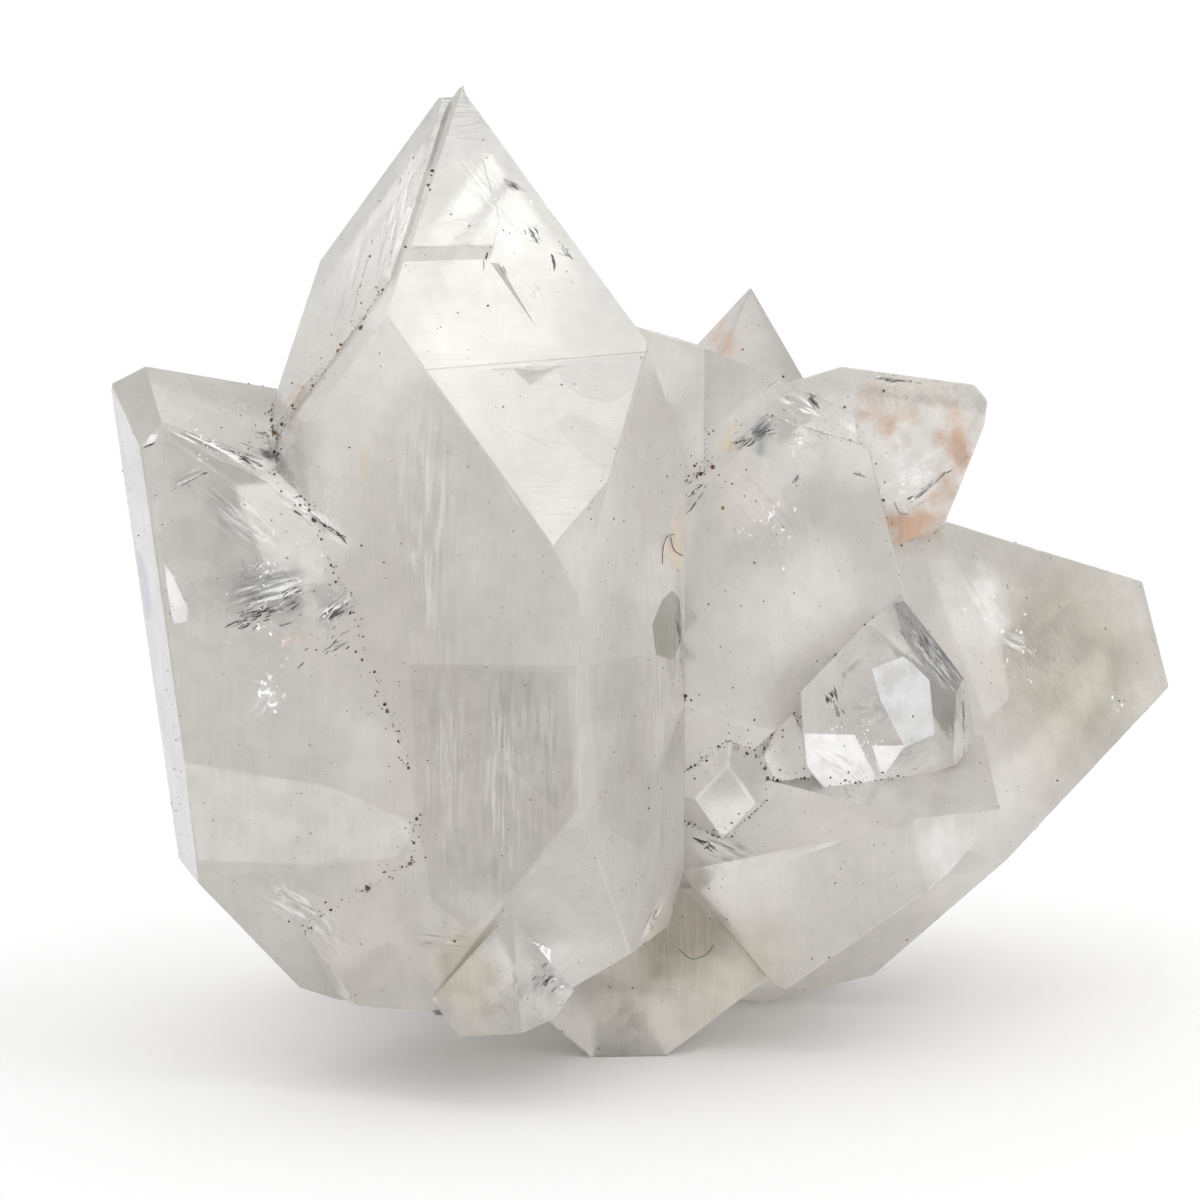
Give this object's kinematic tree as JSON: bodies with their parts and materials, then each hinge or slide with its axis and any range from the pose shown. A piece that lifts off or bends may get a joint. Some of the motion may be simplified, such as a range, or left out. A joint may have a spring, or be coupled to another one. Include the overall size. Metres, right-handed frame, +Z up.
{
  "type": "apophyllite cluster",
  "caption": "Free-standing cluster of clear, milky and faintly peach-tinted tetragonal crystals grown together, cut off flat underneath.",
  "frame": {"origin": "middle of the bounding box's underside, where the cluster stands", "axes": "+Z up, +X along the cluster's longest extent, from the large upright crystal towards the crystals that lie on their side, -Y towards the viewer"},
  "size_m": [0.0598, 0.0492, 0.0535],
  "materials": {
    "apophyllite": "glassy, with milky veils and pearly cleavage faces"
  },
  "bodies": {
    "root": {"apophyllite_cluster": "apophyllite"}
  },
  "joints": []
}
